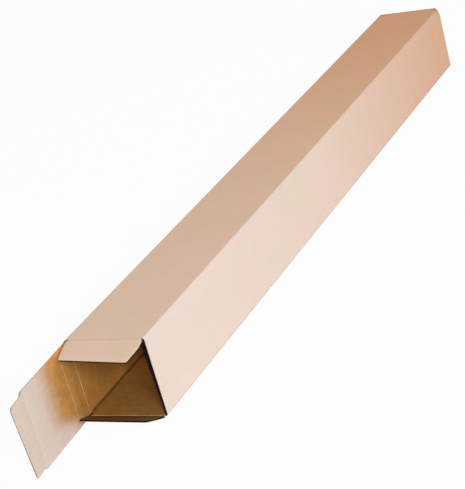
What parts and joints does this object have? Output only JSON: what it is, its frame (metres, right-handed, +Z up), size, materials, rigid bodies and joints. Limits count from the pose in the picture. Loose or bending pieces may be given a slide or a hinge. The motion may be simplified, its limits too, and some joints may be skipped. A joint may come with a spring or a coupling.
{
  "type": "square mailing tube",
  "caption": "Long square mailing tube of corrugated card, folded from one sheet, with hinged closing, tuck and dust flaps at its open end and a tucked closing flap at its far end.",
  "frame": {"origin": "middle of the bottom wall's outer face, half way between the two ends", "axes": "+X along the tube towards its open end, +Y to the right seen from above with the open end towards the viewer, +Z up"},
  "size_m": [0.9833, 0.0844, 0.0804],
  "materials": {
    "corrugated_card": "matte"
  },
  "bodies": {
    "tube": {"tube": "corrugated_card"},
    "closing_flap": {"closing_flap": "corrugated_card"},
    "tuck_flap": {"tuck_flap": "corrugated_card"},
    "upper_dust_flap": {"upper_dust_flap": "corrugated_card"},
    "lower_dust_flap": {"lower_dust_flap": "corrugated_card"},
    "far_closing_flap": {"far_closing_flap": "corrugated_card"}
  },
  "joints": [
    {"name": "closing_flap_hinge", "type": "hinge", "parent": "tube", "child": "closing_flap", "pos_m": [0.4381, -0.042, 0.04], "axis": [0, 0, 1], "range_deg": [-170, 4]},
    {"name": "tuck_flap_hinge", "type": "hinge", "parent": "closing_flap", "child": "tuck_flap", "pos_m": [0.51912, -0.03846, 0.04], "axis": [0, 0, 1], "range_deg": [-6, 84]},
    {"name": "upper_dust_flap_hinge", "type": "hinge", "parent": "tube", "child": "upper_dust_flap", "pos_m": [0.435, 0, 0.08], "axis": [0, 1, 0], "range_deg": [-175, 75]},
    {"name": "lower_dust_flap_hinge", "type": "hinge", "parent": "tube", "child": "lower_dust_flap", "pos_m": [0.435, 0, 0.0004], "axis": [0, -1, 0], "range_deg": [-22, 68]},
    {"name": "far_closing_flap_hinge", "type": "hinge", "parent": "tube", "child": "far_closing_flap", "pos_m": [-0.4381, -0.042, 0.04], "axis": [0, 0, 1], "range_deg": [0, 255]}
  ]
}
